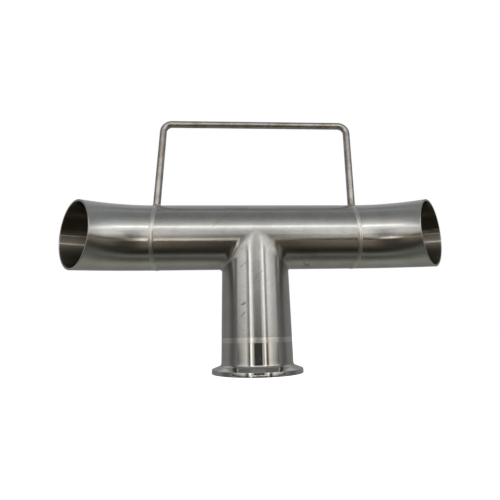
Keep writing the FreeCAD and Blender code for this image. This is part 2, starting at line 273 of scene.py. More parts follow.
def tee_skin(sizes, inset, turns):
    """One skin of the tee as rows that run from the outlet's end to the edges of the run.

    The rounding grows from the sides to the front with the fourth power of the sine. Below
    it the rows go straight down the outlet. Beyond it the run is laid flat, as distance
    along and angle round its axis, and the rows spread evenly from the rounding's edge to
    the rectangle that the unrolled run makes.
    """
    half_weld = sizes.weld_width / 2
    radius = TUBE_RADIUS - inset
    fade = np.sin(turns) ** 4
    rounding = sizes.crotch + (sizes.crotch_front - sizes.crotch) * fade + inset
    blend = crotch_rows(radius, rounding, turns, CROTCH_ROWS)
    foot = half_weld - sizes.outlet_reach
    share = np.linspace(0, 1, OUTLET_ROWS, endpoint=False)[:, None]
    outlet = np.empty((OUTLET_ROWS, len(turns), 3))
    outlet[..., :2] = blend[0][None, :, :2]
    outlet[..., 2] = foot + (blend[0][None, :, 2] - foot) * share
    edge = blend[-1]
    edge_angle = np.arctan2(edge[:, 1], -edge[:, 2])
    end = sizes.run_reach - half_weld
    cosine, sine = np.cos(turns), np.sin(turns)
    stretch = 1 / np.maximum(np.abs(cosine), np.abs(sine))
    far_along = sizes.run_shift + end * cosine * stretch
    far_angle = np.pi * sine * stretch
    share = np.linspace(0, 1, RUN_ROWS)[1:, None]
    along = edge[:, 0] + (far_along - edge[:, 0]) * share
    around = edge_angle + (far_angle - edge_angle) * share
    run = np.stack([along, radius * np.sin(around), -radius * np.cos(around)], -1)
    return np.concatenate([outlet, blend, run])


def merge_points(points, faces):
    """Join points that fall on the same place. Gives also which points were kept."""
    keys = np.round(points * STEPS_PER_METRE).astype(np.int64)
    _, first, place_of = np.unique(keys, axis=0, return_index=True, return_inverse=True)
    return points[first], place_of.ravel()[faces], first


def build_tee(sizes):
    """The drawn tee: outer and inner skins joined at the outlet's end and the run's ends.

    The two long edges of the unrolled run meet along its top, where each skin closes on
    itself, so the faces that would bridge the skins there are left out.
    """
    turns = full_turn(TEE_COLUMNS)
    outer = tee_skin(sizes, 0.0, turns)
    inner = tee_skin(sizes, sizes.wall, turns)
    rows = np.concatenate([inner[::-1], outer])
    faces = grid_faces(len(rows), TEE_COLUMNS)
    bridge = np.arange(TEE_COLUMNS) + (len(rows) - 1) * TEE_COLUMNS
    middle = turns + np.pi / TEE_COLUMNS
    keep = np.ones(len(faces), bool)
    keep[bridge] = np.abs(np.cos(middle)) > np.abs(np.sin(middle))
    upright = np.clip(1 - (np.arange(len(outer)) - LAY_START) / LAY_ROWS, 0, 1)
    upright = np.repeat(np.concatenate([upright[::-1], upright]), TEE_COLUMNS)
    inside = np.repeat(np.arange(len(rows)) < len(inner), TEE_COLUMNS)
    points, faces, kept = merge_points(rows.reshape(-1, 3), faces[keep])
    points = points + np.array([0, 0, RUN_HEIGHT])
    marks = {"upright": upright[kept], "inside": inside[kept]}
    return make_piece("drawn_tee", points, faces, marks=marks)


def build_elbow(sizes, side):
    """A bent tube: a closed section carried about the centre of the bend.

    The section is a circle about the centreline. The rows go out along the outer skin,
    round the mouth's edge and back along the bore, and each row turns the circle by its
    share of the bend. Angles round the section start on the outside of the bend.
    """
    rows, columns = 80, 256
    around = full_turn(columns)
    edge = sizes.mouth_break
    outer, bore = TUBE_RADIUS, TUBE_RADIUS - sizes.wall
    full = sizes.elbow_angle
    short = edge / sizes.elbow_radius
    quarter = np.linspace(0, np.pi / 2, 5)
    last = full - short * (1 - np.sin(quarter))
    shaved = edge * (1 - np.cos(quarter))
    turn = np.concatenate([
        np.linspace(0, full - short, rows, endpoint=False),
        last,
        last[::-1],
        np.linspace(full - short, 0, rows, endpoint=False)[1:],
        [0.0],
    ])
    radius = np.concatenate([
        np.full(rows, outer),
        outer - shaved,
        (bore + shaved)[::-1],
        np.full(rows, bore),
    ])
    reach = sizes.elbow_radius + radius[:, None] * np.cos(around)
    along = reach * np.sin(turn)[:, None]
    inward = sizes.elbow_radius - reach * np.cos(turn)[:, None]
    upward = radius[:, None] * np.sin(around) + 0 * along
    drop = sizes.elbow_drop
    start = sizes.run_reach + sizes.weld_width / 2
    x = sizes.run_shift + side * (start + along)
    y = -inward * math.cos(drop) - upward * math.sin(drop)
    z = -inward * math.sin(drop) + upward * math.cos(drop) + RUN_HEIGHT
    points = np.stack([x, y, z], -1).reshape(-1, 3)
    faces = grid_faces(len(turn), columns)
    chart = grid_chart(len(turn), columns, turn * sizes.elbow_radius, 2 * np.pi * outer)
    inside = np.repeat(radius < bore + edge / 2, columns)
    name = "right_open_elbow" if side > 0 else "left_open_elbow"
    return make_piece(name, points, faces, chart, {"inside": inside})


def ferrule_profile(sizes):
    """The ferrule's section as radius and height: out along the face, up, and down the bore.

    Its corners are rounded by arcs, the groove is an arc about a centre just below the face,
    and the flange's back rises towards the neck with the tangent of its slope.
    """
    outer, bore = TUBE_RADIUS, TUBE_RADIUS - sizes.wall
    rim, edge = FLANGE_RADIUS, sizes.flange_edge
    top = sizes.ferrule_length - sizes.weld_width / 2
    rise = math.tan(sizes.flange_slope)
    neck_foot = edge + (rim - outer) * rise
    middle, radius = sizes.groove_middle, sizes.groove_radius
    sunk = radius - sizes.groove_depth
    half = math.sqrt(radius**2 - sunk**2)
    open_angle = math.asin(sunk / radius)
    sweep = np.linspace(math.pi - open_angle, open_angle, 20)
    groove = np.stack([middle + radius * np.cos(sweep), radius * np.sin(sweep) - sunk], -1)
    near, far, roof = middle - half, middle + half, sizes.groove_depth
    side = sizes.flange_break
    rows = 12
    return np.concatenate([
        rounded_corner((bore, 0), (bore, top), (middle, 0), side / 2),
        rounded_corner((near, 0), (bore, 0), (near, roof), side / 3, steps=4),
        groove[1:-1],
        rounded_corner((far, 0), (far, roof), (rim, 0), side / 3, steps=4),
        rounded_corner((rim, 0), (middle, 0), (rim, edge), side),
        rounded_corner((rim, edge), (rim, 0), (outer, neck_foot), side),
        rounded_corner((outer, neck_foot), (rim, edge), (outer, top), sizes.neck, steps=14),
        np.stack([np.full(rows, outer), np.linspace(neck_foot + 2 * sizes.neck, top, rows)], -1),
        np.stack([np.full(rows, bore), np.linspace(top, edge, rows)], -1),
    ])


def build_ferrule(sizes):
    """The turned ferrule: its section carried once round the upright axis."""
    profile = ferrule_profile(sizes)
    around = full_turn(384)
    x = profile[:, :1] * np.cos(around)
    y = profile[:, :1] * np.sin(around)
    z = profile[:, 1:] + 0 * x
    points = np.stack([x, y, z], -1).reshape(-1, 3)
    return make_piece("turned_ferrule", points, grid_faces(len(profile), len(around)))


# A hand-laid bead: its scales in one turn, how far they bend back at the sides, how often and
# how far their pace changes, and its even height with the shares that swell in slow waves and
# stand up in the scales. The crowns are the shares of the full height that a bead keeps as
# laid and after grinding.

SCALES, SCALE_BEND, PACES, PACE_SHARE = 92, 2.4, 7, 1.6
SWELLS = (2, 3, 5, 8, 13, 21)
EVEN_SHARE, SWELL_SHARE, SCALE_SHARE = 0.72, 0.16, 0.30
LAID_CROWN, GROUND_CROWN = 0.70, 0.08


def bead_height(around, across, seed):
    """Height of a hand-laid bead from nothing to about one, over the turn and the width.

    The crown is a parabola across. Overlapping scales, bent back towards the start, come
    from a wave along the bead whose phase falls behind away from the middle, and slow
    waves of many lengths make the bead swell and thin out.
    """
    swell = sum(np.sin(around * k + seed * (1 + k)) / (1 + 0.35 * k) for k in SWELLS)
    pace = PACE_SHARE * np.sin(around * PACES + seed)
    scale = around * SCALES + pace - SCALE_BEND * across**2
    ripple = np.abs(np.sin(scale / 2)) ** 0.6
    return (1 - across**2) * (EVEN_SHARE + SWELL_SHARE * swell + SCALE_SHARE * ripple)


def build_ring_weld(sizes, name, centre, axis, seed, crown_share):
    """A ring bead: a closed band with a rippled crown outside and a level root inside."""
    around = full_turn(1024)
    across = np.linspace(-1, 1, 15)
    crown = bead_height(around[None, :], across[:, None], seed)
    outer = TUBE_RADIUS + sizes.weld_crown * crown_share * crown
    bore = TUBE_RADIUS - sizes.wall
    radius = np.concatenate([outer, np.full((2, len(around)), bore)])
    along = np.concatenate([across, [1.0, -1.0]]) * sizes.weld_width / 2
    along = along[:, None] + 0 * radius
    first = radius * np.cos(around)
    second = radius * np.sin(around)
    points = np.stack([along, first, second] if axis == "x" else [first, second, along], -1)
    points = (points + np.array(centre)).reshape(-1, 3)
    return make_piece(name, points, grid_faces(len(radius), len(around)))


def handle_feet(sizes):
    """Places of the handle's left and right feet along the run."""
    middle = sizes.run_shift + sizes.handle_shift
    return middle - sizes.handle_span / 2, middle + sizes.handle_span / 2


def handle_path(sizes):
    """Points of the handle's centreline as across and height, from the left foot to the right.

    Two straight legs and a level grip, joined by arcs of the bend's radius.
    """
    crest = RUN_HEIGHT + TUBE_RADIUS
    depth = sizes.wall / 2
    rise = sizes.handle_height + depth
    left, right = (np.array([foot, crest - depth]) for foot in handle_feet(sizes))
    left_top = left + np.array([rise * math.tan(sizes.left_lean), rise])
    right_top = right + np.array([rise * math.tan(sizes.right_lean), rise])
    first = rounded_corner(left_top, left, right_top, sizes.bar_bend, steps=25)
    second = rounded_corner(right_top, left_top, right, sizes.bar_bend, steps=25)
    rows = 60
    share = np.linspace(0, 1, rows, endpoint=False)[:, None]
    return np.concatenate([
        left + (first[0] - left) * share,
        first[:-1],
        first[-1] + (second[0] - first[-1]) * share,
        second[:-1],
        second[-1] + (right - second[-1]) * np.linspace(0, 1, rows + 1)[:, None],
    ])


def build_handle(sizes):
    """The bent bar: a circle carried along its path, closed by a point at each foot."""
    line = handle_path(sizes)
    step = np.gradient(line, axis=0)
    step /= np.linalg.norm(step, axis=1, keepdims=True)
    normal = np.stack([-step[:, 1], step[:, 0]], -1)
    around = full_turn(64)
    radius = np.full(len(line), sizes.bar)
    radius[0] = radius[-1] = 0.0
    line[0], line[-1] = line[1], line[-2]
    x = line[:, :1] + radius[:, None] * np.cos(around) * normal[:, :1]
    z = line[:, 1:] + radius[:, None] * np.cos(around) * normal[:, 1:]
    y = radius[:, None] * np.sin(around) + 0 * x
    points = np.stack([x, y, z], -1).reshape(-1, 3)
    distance = np.append(0, np.cumsum(np.linalg.norm(np.diff(line, axis=0), axis=1)))
    faces = grid_faces(len(line), len(around), loop=False)
    chart = grid_chart(len(line) - 1, len(around), distance, 2 * np.pi * sizes.bar)
    return make_piece("bent_bar", points, faces, chart)


def build_foot_weld(sizes, name, foot, lean, seed):
    """The bead round one foot, laid on the tube's crest.

    Its rows step outwards from the bar. Each point stands over the tube, whose height is
    the square root of the radius squared less the depth squared, and the bead's own height
    falls from its reach up the bar to nothing at its toe. Slow waves make it lumpy. Its
    last two rows lie in the tube's wall, under the toe and under the bar, and close it.
    """
    around = full_turn(160)
    share = np.linspace(0, 1, 12)[:, None]
    lumps = 1 + 0.14 * np.sin(3 * around + seed) + 0.10 * np.sin(7 * around + 2 * seed)
    ripple = 1 + 0.10 * np.abs(np.sin(11 * around + seed))
    radius = sizes.bar + sizes.foot_leg * lumps * share
    rise = sizes.foot_leg * 1.1 * lumps[::-1] * ripple * (1 - share) ** 1.2
    x = radius * np.cos(around)
    y = radius * np.sin(around)
    tube = np.sqrt(TUBE_RADIUS**2 - y**2) + RUN_HEIGHT
    z = tube + rise + sizes.weld_crown * 0.5 * (1 - share)
    sunk = tube - sizes.wall / 2
    under_bar = 0.9
    x = np.concatenate([x, x[-1:], x[:1] * under_bar]) + foot
    y = np.concatenate([y, y[-1:], y[:1] * under_bar])
    z = np.concatenate([z, sunk[-1:], sunk[:1]])
    x = x + (z - RUN_HEIGHT - TUBE_RADIUS) * math.tan(lean)
    points = np.stack([x, y, z], -1).reshape(-1, 3)
    return make_piece(name, points, grid_faces(len(z), len(around)))


# Materials


def tone(shade):
    """A colour with nothing see-through, from three numbers or from one brightness."""
    return (*shade, 1.0) if isinstance(shade, tuple) else (shade, shade, shade, 1.0)


class Nodes:
    """A short way to add nodes to a material or a world and to link them."""

    def __init__(self, owner):
        owner.use_nodes = True
        self.tree = owner.node_tree
        self.tree.nodes.clear()

    def add(self, kind, inputs=None, **settings):
        """Add a node with its own settings. Each of the inputs is a value or a socket to link."""
        node = self.tree.nodes.new(f"ShaderNode{kind}")
        for key, value in settings.items():
            setattr(node, key, value)
        for key, value in (inputs or {}).items():
            if isinstance(value, bpy.types.NodeSocket):
                self.tree.links.new(value, node.inputs[key])
            else:
                node.inputs[key].default_value = value
        return node

    def math(self, operation, first, second=0.0, third=0.0):
        """One operation on two or three numbers."""
        return self.add("Math", {0: first, 1: second, 2: third}, operation=operation).outputs[0]

    def vector(self, operation, *values):
        """One operation on vectors, which gives a number for a distance or a dot product."""
        node = self.add("VectorMath", dict(enumerate(values)), operation=operation)
        return node.outputs[1 if operation in ("DISTANCE", "DOT_PRODUCT") else 0]

    def mix(self, share, first, second, blend_type="MIX"):
        """A share of the way from one colour to another, or to the two multiplied."""
        inputs = {0: share, 6: first, 7: second}
        return self.add("Mix", inputs, data_type="RGBA", blend_type=blend_type).outputs[2]

    def ramp(self, value, stops):
        """A colour looked up between stops of position and brightness or colour."""
        node = self.add("ValToRGB", {0: value})
        band = node.color_ramp
        while len(band.elements) < len(stops):
            band.elements.new(0.5)
        for element, (position, shade) in zip(band.elements, stops):
            element.position = position
            element.color = tone(shade)
        return node.outputs[0]

    def noise(self, vector, scale, detail=2.0, roughness=0.5, output="Fac"):
        """Smooth noise from nothing to one."""
        inputs = {"Vector": vector, "Scale": scale, "Detail": detail, "Roughness": roughness}
        return self.add("TexNoise", inputs).outputs[output]

    def between(self, value, low, high):
        """How far a value has come from one end to the other, with a soft start and end."""
        inputs = {"Value": value, 1: low, 2: high}
        return self.add("MapRange", inputs, interpolation_type="SMOOTHSTEP").outputs[0]

    def place(self):
        """The object's own coordinates, which are the frame's."""
        return self.add("TexCoord").outputs["Object"]

    def split(self, vector):
        """The three parts of a vector."""
        return self.add("SeparateXYZ", {0: vector}).outputs

    def mark(self, name):
        """One of the numbers that a mesh keeps for each of its points."""
        return self.add("Attribute", attribute_name=name).outputs["Fac"]


# Scuffs on the tee's front in millimetres: across and up of both ends, counted from the
# outlet's middle and the run's axis, and how far from the line the mark reaches

SCUFFS = (
    (-31.8, 1.3, -24.7, 7.8, 0.28),
    (-24.7, 7.8, -16.6, 14.3, 0.28),
    (-11.8, -27.3, -6.9, -23.5, 0.35),
    (-3.0, -39.6, -0.1, -34.2, 0.30),
    (-0.1, -34.2, 3.5, -30.8, 0.30),
    (-11.0, -53.2, -9.0, -52.4, 0.90),
    (-11.5, -61.1, -9.4, -58.6, 0.50),
    (20.8, -50.4, 17.2, -40.4, 0.35),
    (35.6, -22.8, 40.5, -24.8, 0.60),
    (36.6, -24.6, 40.4, -23.3, 0.45),
)
HAND_STAINS = (
    (-21.9, 18.6, -7.4, 18.6, 3.0),
    (30.0, -16.0, 44.0, -18.0, 4.0),
)

# How far the scuffs wander, in metres, and the share of the stain's colour that they take

SCUFF_WANDER = 0.0016
SCUFF_STAIN, HAND_STAIN = 0.75, 0.45

# Noises of the steel, as scale, detail and roughness, and the blotches' share of its colour

GRAIN = (1.0, 3.0, 0.6)
DOTS = (760.0, 3.0, 0.75)
BLOTCHES = (38.0, 4.0, 0.55)
STAINS = (70.0, 4.0, 0.6)
BLOTCH_SHARE = 0.10

# What the roughness gains in a bore and on a scuff, and loses down the outlet

BORE_ROUGHER, SCUFF_ROUGHER, OUTLET_SMOOTHER = 0.12, 0.15, 0.035

# What the steel's colour is multiplied by in a stain, in a bore and on a bore's painted reflections

STAIN_TINT = (0.66, 0.56, 0.44, 1)
BORE_TINT = (0.44, 0.40, 0.34, 1)
BORE_REFLECTION_TINT = (1.6, 1.5, 1.3, 1)

# Where a bore's painted reflections lie round it, as a share of the turn from the bend's outside

BORE_REFLECTIONS = (
    (0.0, 0.16), (0.009, 0.20), (0.0105, 1.0), (0.0135, 1.0), (0.015, 0.06), (0.030, 0.0),
    (0.052, 0.0), (0.0535, 0.30), (0.055, 0.0), (0.30, 0.0), (0.70, 0.0), (0.955, 0.0),
    (0.966, 0.10), (0.968, 1.0), (0.971, 1.0), (0.973, 0.18), (1.0, 0.16),
)


def scuffed(nodes, place_on, lines):
    """Where a point lies near one of the lines on the front, from nothing to one.

    The nearest place on a line is the share of its length that a point's offset covers,
    and the mark fades with the distance from there. Noise makes the lines wander.
    """
    wander = nodes.noise(place_on, 260.0, output="Color")
    spot = nodes.vector("MULTIPLY_ADD", wander, (SCUFF_WANDER, 0, SCUFF_WANDER), place_on)
    spot = nodes.vector("MULTIPLY", spot, (1, 0, 1))
    middle = SCUFF_WANDER / 2
    total = 0.0
    for across, up, across_end, up_end, reach in lines:
        start = (across / 1000 + middle, 0, up / 1000 + RUN_HEIGHT + middle)
        way = np.array([across_end - across, 0, up_end - up]) / 1000
        offset = nodes.vector("SUBTRACT", spot, start)
        share = nodes.vector("DOT_PRODUCT", offset, tuple(way / (way @ way)))
        share = nodes.add("Math", {0: share, 1: 0.0}, operation="ADD", use_clamp=True).outputs[0]
        near = nodes.add("VectorMath", {0: tuple(way), "Scale": share}, operation="SCALE").outputs[0]
        gap = nodes.vector("DISTANCE", offset, near)
        mark = nodes.add("MapRange", {"Value": gap, 1: reach / 1000, 2: reach / 4000}).outputs[0]
        total = nodes.math("MAXIMUM", mark, total)
    depth = nodes.split(place_on)[1]
    return nodes.math("MULTIPLY", total, nodes.math("LESS_THAN", depth, 0.0))


def bore_tint_and_reflections(nodes, inside, along):
    """What a bore multiplies the colour by: darker and browner, with painted reflections in a bent tube's.
    """
    lines = 0.0
    # Painted reflections: light lines round a bent tube's bore, where it would mirror the mouth opposite
    if along == "chart":
        around = nodes.split(nodes.add("UVMap", uv_map="UVMap").outputs[0])[1]
        turn = nodes.math("MULTIPLY", around, 0.5 / (math.pi * TUBE_RADIUS))
        lines = nodes.ramp(turn, BORE_REFLECTIONS)
    return nodes.mix(inside, (1, 1, 1, 1), nodes.mix(lines, BORE_TINT, BORE_REFLECTION_TINT))


def lay(nodes, upright, along):
    """The direction in which reflections smear out: the chart's, the tee's or a fixed one."""
    if along == "chart":
        return nodes.add("Tangent", direction_type="UV_MAP", uv_map="UVMap").outputs[0]
    if along == "tee":
        return nodes.add(
            "Mix", {0: upright, 4: (1, 0, 0), 5: (0, 0, 1)}, data_type="VECTOR"
        ).outputs[1]
    return nodes.add("CombineXYZ", dict(enumerate(along))).outputs[0]


def steel(
    name, tint, gloss, grain, speckle=0.06, bump=0.02, spread=0.08, brushed=0.0, along=None,
    stain=0.2, scuffs=False,
):
    """Steel with fine grain, faint blotches, brownish stains and a dull, darker bore.

    The grain is noise with a scale of its own along each axis. It moves the roughness and
    the height, and fine dots move the height and, by the speckle, the colour. Where the
    tube was brushed round, its reflections smear out along it: a vector, the UV map or the
    tee's own blend of its two axes says which way that is.
    """
    material = bpy.data.materials.new(name)
    nodes = Nodes(material)
    place_on = nodes.place()
    scaled = nodes.add("Mapping", {"Vector": place_on, "Scale": grain}).outputs["Vector"]
    fine = nodes.noise(scaled, *GRAIN)
    dots = nodes.noise(place_on, *DOTS)
    blotch = nodes.noise(place_on, *BLOTCHES)
    inside, upright = nodes.mark("inside"), nodes.mark("upright")
    rough = nodes.math("MULTIPLY_ADD", fine, spread, gloss - spread / 2)
    rough = nodes.math("MULTIPLY_ADD", blotch, spread, rough)
    rough = nodes.math("SUBTRACT", rough, spread / 2)
    rough = nodes.math("MULTIPLY_ADD", inside, BORE_ROUGHER, rough)
    rough = nodes.math("MULTIPLY_ADD", upright, -OUTLET_SMOOTHER, rough)
    shade = nodes.math("MULTIPLY_ADD", dots, speckle, 1 - speckle / 2)
    shade = nodes.math("SUBTRACT", shade, BLOTCH_SHARE / 2)
    shade = nodes.math("MULTIPLY_ADD", blotch, BLOTCH_SHARE, shade)
    base = nodes.mix(1.0, (*tint, 1.0), shade, "MULTIPLY")
    cast = nodes.ramp(nodes.noise(place_on, *STAINS), ((0.44, 0.0), (0.62, 1.0)))
    cast = nodes.math("MULTIPLY", cast, stain)
    if scuffs:
        handled = scuffed(nodes, place_on, HAND_STAINS)
        cast = nodes.math("MAXIMUM", cast, nodes.math("MULTIPLY", handled, HAND_STAIN))
        scratched = scuffed(nodes, place_on, SCUFFS)
        cast = nodes.math("MAXIMUM", cast, nodes.math("MULTIPLY", scratched, SCUFF_STAIN))
        rough = nodes.math("MULTIPLY_ADD", scratched, SCUFF_ROUGHER, rough)
    base = nodes.mix(cast, base, STAIN_TINT, "MULTIPLY")
    # Darker, browner bores, with painted reflections along a bent tube's bore
    base = nodes.mix(1.0, base, bore_tint_and_reflections(nodes, inside, along), "MULTIPLY")
    height = nodes.math("MULTIPLY_ADD", dots, 0.5, fine)
    relief = nodes.add("Bump", {"Strength": bump, "Distance": 0.0002, "Height": height})
    surface = nodes.add("BsdfPrincipled", {
        "Base Color": base, "Metallic": 1.0, "Roughness": rough, "Normal": relief.outputs[0],
        "Anisotropic": brushed,
    })
    if along:
        nodes.tree.links.new(lay(nodes, upright, along), surface.inputs["Tangent"])
    nodes.add("OutputMaterial", {0: surface.outputs[0]})
    return material


# Studio

# The tent's width and how far it and the panels reach below the run's axis, in metres. The
# cards' places are counted from the outlet's middle and the run's axis.

TENT_WIDTH, TENT_DROP, PANEL_DROP = 4.0, 0.40, 0.15

# How far in front of the part the cards stand, all of them behind the camera

TENT_DEPTH, HEM_DEPTH, PANEL_DEPTH, LOW_DEPTH = -0.825, -0.822, -0.475, -0.300

# Brightness of the tent's front from left to right, low down and high up

LOW_WALLS = (
    (0.00, 0.19), (0.10, 0.26), (0.17, 0.36), (0.25, 0.50), (0.32, 0.70), (0.345, 0.82),
    (0.365, 0.50), (0.388, 0.16), (0.403, 0.12), (0.412, 1.55), (0.424, 1.55), (0.436, 0.58),
    (0.450, 0.45), (0.456, 0.78), (0.544, 0.78), (0.550, 0.45), (0.570, 0.46), (0.576, 1.40),
    (0.586, 1.40), (0.594, 0.30), (0.602, (0.14, 0.08, 0.07)), (0.618, (0.16, 0.10, 0.09)),
    (0.632, 0.75), (0.648, 0.92), (0.675, 0.86), (0.72, 0.62), (0.80, 0.48), (0.87, 0.34),
    (0.93, 0.22), (1.0, 0.18),
)
HIGH_WALLS = (
    (0.00, 0.50), (0.11, 0.62), (0.245, 0.72), (0.32, 0.80), (0.345, 0.92), (0.365, 0.60),
    (0.390, 0.34), (0.402, 0.45), (0.415, 1.65), (0.427, 1.65), (0.438, 0.95), (0.460, 0.85),
    (0.540, 0.85), (0.566, 0.90), (0.576, 1.60), (0.588, 1.60), (0.598, 0.75), (0.608, 0.40),
    (0.622, 0.52), (0.648, 1.10), (0.675, 1.02), (0.755, 0.76), (0.89, 0.64), (1.0, 0.50),
)

# The low walls' tint, and the heights between which they turn into the high ones

LOW_TINT = (1.03, 1, 0.91, 1)
HIGH_FROM, HIGH_TO = -0.13, -0.03

# What both are multiplied by from 1 m below the run's axis to 1 m above it

WALL_ROWS = (
    (0.30, 0.0), (0.33, 0.10), (0.355, 0.33), (0.3775, 0.60), (0.4075, 0.80), (0.43, 1.0),
    (0.60, 1.0), (0.618, 1.03), (0.638, 1.25), (0.655, 1.75), (0.672, 2.00), (0.690, 1.65),
    (0.710, 1.00), (0.77, 0.76), (0.81, 0.62), (0.90, 0.45), (0.95, 0.38),
)

# Brightness of the panels and of the hem, from the foot up over each one's reach

PANEL_REACH, HEM_REACH = 0.25, 0.20
PANEL_ROWS = (
    (0.0, 0.03), (0.17, 0.04), (0.30, 0.05), (0.38, 0.09), (0.46, 0.18), (0.56, 0.28),
    (0.72, 0.36), (0.85, 0.41), (0.98, 0.50),
)
HEM_ROWS = ((0.0, (1, 0.92, 0.81)), (0.6, (1, 0.92, 0.81)), (0.78, 0.50), (0.97, 0.38))

# Brightness of the room once round the run, from behind by below, the front and above to
# behind, and once round the horizon, from behind by the left, the front and the right

ROOM_OVER = (
    (0.000, 0.24), (0.083, 0.20), (0.175, (0.29, 0.29, 0.255)), (0.205, (0.19, 0.19, 0.165)),
    (0.228, (0.10, 0.10, 0.09)), (0.250, (0.09, 0.09, 0.08)), (0.270, (0.15, 0.15, 0.135)),
    (0.285, (0.15, 0.15, 0.135)), (0.300, (0.04, 0.04, 0.034)), (0.325, (0.018, 0.018, 0.015)),
    (0.345, (0.045, 0.042, 0.034)), (0.367, (0.13, 0.11, 0.085)), (0.385, (0.19, 0.16, 0.125)),
    (0.400, (0.22, 0.18, 0.14)), (0.422, (0.28, 0.24, 0.19)), (0.439, 0.34), (0.533, 0.72),
    (0.567, 1.0), (0.589, 0.9), (0.611, (0.531, 0.55, 0.567)), (0.639, (0.318, 0.33, 0.34)),
    (0.672, (0.222, 0.23, 0.237)), (0.722, (0.222, 0.23, 0.237)), (0.744, (0.318, 0.33, 0.34)),
    (0.781, (0.212, 0.22, 0.227)), (0.811, (0.338, 0.35, 0.36)), (0.858, (0.396, 0.41, 0.422)),
    (0.917, 0.55), (1.000, 0.24),
)
ROOM_AROUND = (
    (0.00, 0.30), (0.10, 0.22), (0.20, 0.24), (0.235, 0.14), (0.262, 0.12), (0.29, 0.17),
    (0.32, 0.26), (0.345, 0.38), (0.36, 0.48), (0.64, 0.52), (0.67, 0.40), (0.69, 0.24),
    (0.71, 0.19), (0.745, 0.13), (0.77, 0.14), (0.80, 0.22), (0.90, 0.24), (1.00, 0.30),
)

# Steepness between which the second turns into the first, and how much more it counts below

STEEP_FROM, STEEP_TO, STEEP_BELOW = 0.28, 0.6, 1.8


def glow(name, shade, strength=1.0):
    """A surface that only shines, with a plain brightness or one that nodes look up."""
    material = bpy.data.materials.new(name)
    nodes = Nodes(material)
    shown = shade(nodes) if callable(shade) else tone(shade)
    shine = nodes.add("Emission", {"Color": shown, "Strength": strength})
    nodes.add("OutputMaterial", {0: shine.outputs[0]})
    return material


def front_glow(nodes):
    """The white front of the light tent: its walls, the slit for the camera and the slit's hems.

    Low down it is brightest at the two hems, dark just outside them, and fades to the
    corners. Higher up the walls are more even. A bright seam runs across near the top.
    """
    across, _, up = nodes.split(nodes.place())
    share = nodes.math("MULTIPLY_ADD", across, 1 / TENT_WIDTH, 0.5)
    low, high = nodes.ramp(share, LOW_WALLS), nodes.ramp(share, HIGH_WALLS)
    height = nodes.math("SUBTRACT", up, RUN_HEIGHT)
    walls = nodes.mix(
        nodes.between(height, HIGH_FROM, HIGH_TO), nodes.mix(1.0, low, LOW_TINT, "MULTIPLY"), high
    )
    rows = nodes.ramp(nodes.math("MULTIPLY_ADD", height, 0.5, 0.5), WALL_ROWS)
    return nodes.mix(1.0, walls, rows, "MULTIPLY")


def rising_glow(nodes, drop, reach, stops):
    """A brightness that is looked up by height, from a drop below the run's axis upwards."""
    height = nodes.split(nodes.place())[2]
    share = nodes.math("MULTIPLY_ADD", height, 1 / reach, (drop - RUN_HEIGHT) / reach)
    return nodes.ramp(share, stops)


def panel_glow(nodes):
    """The panels round the camera: grey, and darker downwards."""
    return rising_glow(nodes, PANEL_DROP, PANEL_REACH, PANEL_ROWS)


def hem_glow(nodes):
    """The hem of the tent's floor: brightest at its foot, and slightly warm."""
    return rising_glow(nodes, TENT_DROP, HEM_REACH, HEM_ROWS)


def flat_mesh(name, low, high, material):
    """A rectangle between two opposite corners, square to the axis along which they agree."""
    flat = int(np.argmin(np.abs(np.subtract(high, low))))
    first, second = (i for i in range(3) if i != flat)
    corners = np.array([low, low, low, low], float)
    corners[1:3, first] = high[first]
    corners[2:, second] = high[second]
    mesh = bpy.data.meshes.new(name)
    mesh.from_pydata(corners.tolist(), [], [(0, 1, 2, 3)])
    mesh.materials.append(material)
    return mesh


def card(name, across, depth, up, material):
    """An upright card that the camera doesn't see, from its edges, counted from the run's axis."""
    low = (across[0], depth, RUN_HEIGHT + up[0])
    high = (across[1], depth, RUN_HEIGHT + up[1])
    thing = add_object(name, flat_mesh(name, low, high, material))
    thing.visible_camera = False
    thing.visible_shadow = False


def build_cards():
    """The tent's front, the hems of its floor and the dark panels round the camera."""
    half = TENT_WIDTH / 2
    card("tent_front", (-half, half), TENT_DEPTH, (-TENT_DROP, 0.90), glow("tent", front_glow))
    hem = glow("hem", hem_glow, strength=2.3)
    card("floor_hem_left", (-0.30, -0.10), HEM_DEPTH, (-0.385, -0.195), hem)
    soft_hem = glow("soft_hem", (1.05, 1.0, 0.93))
    card("floor_hem_right", (0.02, 0.30), HEM_DEPTH, (-0.235, -0.170), soft_hem)
    panel = glow("shade", panel_glow)
    card("shade_left", (-0.105, 0.010), PANEL_DEPTH, (-PANEL_DROP, 0.095), panel)
    card("shade_right", (0.010, 0.105), PANEL_DEPTH, (-PANEL_DROP, 0.075), panel)
    low = glow("low", 0.02)
    card("shade_low", (-0.095, 0.095), LOW_DEPTH, (-TENT_DROP, -PANEL_DROP), low)


